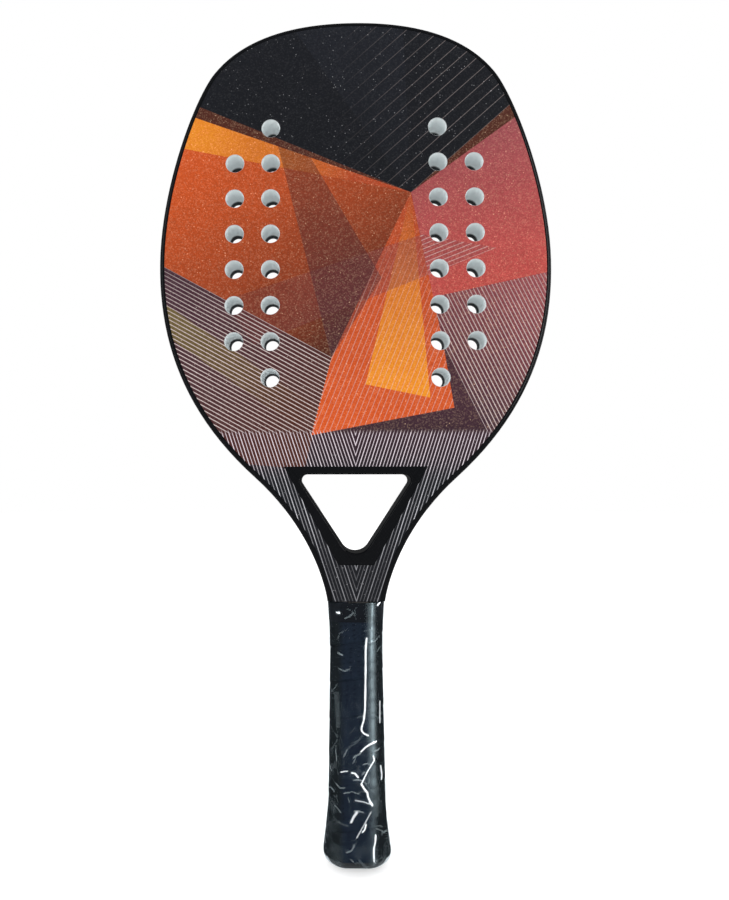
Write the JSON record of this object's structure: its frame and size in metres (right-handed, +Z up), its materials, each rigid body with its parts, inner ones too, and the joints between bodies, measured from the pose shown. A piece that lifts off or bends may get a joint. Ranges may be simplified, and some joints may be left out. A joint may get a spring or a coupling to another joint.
{
  "type": "beach tennis racket",
  "caption": "Beach tennis racket with a drilled foam head between two laminate faces, a hollow hairpin frame with a throat window, and a wound handle.",
  "frame": {"origin": "middle of the flat butt, the lowest point of the racket standing on its handle", "axes": "+X to the right seen from the front face, +Y from the front face to the rear face, +Z up the handle towards the top of the head"},
  "size_m": [0.2346, 0.034, 0.5],
  "materials": {
    "black_carbon": "satin black lacquer over carbon laminate",
    "eva_foam": "pale blue-grey closed-cell foam, cut by the drill",
    "face_print": null,
    "handle_foam": "moulded dark foam",
    "plug_foam": "soft foam plug",
    "cap_plastic": "moulded black plastic",
    "staple_steel": "bright steel wire",
    "grip_tape": "black cushioned tape with a fine grain",
    "band_tape": "black finishing tape",
    "clear_film": "clear wrinkled shrink film"
  },
  "bodies": {
    "root": {"frame_tube": "black_carbon", "throat_bridge": "black_carbon", "throat_gusset": "black_carbon", "foam_core": "eva_foam", "front_face_sheet": "face_print", "rear_face_sheet": "face_print", "handle_pallet_front": "handle_foam", "handle_pallet_rear": "handle_foam", "shaft_plug_left": "plug_foam", "shaft_plug_right": "plug_foam", "butt_cap": "cap_plastic", "cap_staple_front": "staple_steel", "cap_staple_rear": "staple_steel", "base_grip": "grip_tape", "finishing_tape": "band_tape", "grip_film": "clear_film"}
  },
  "joints": []
}
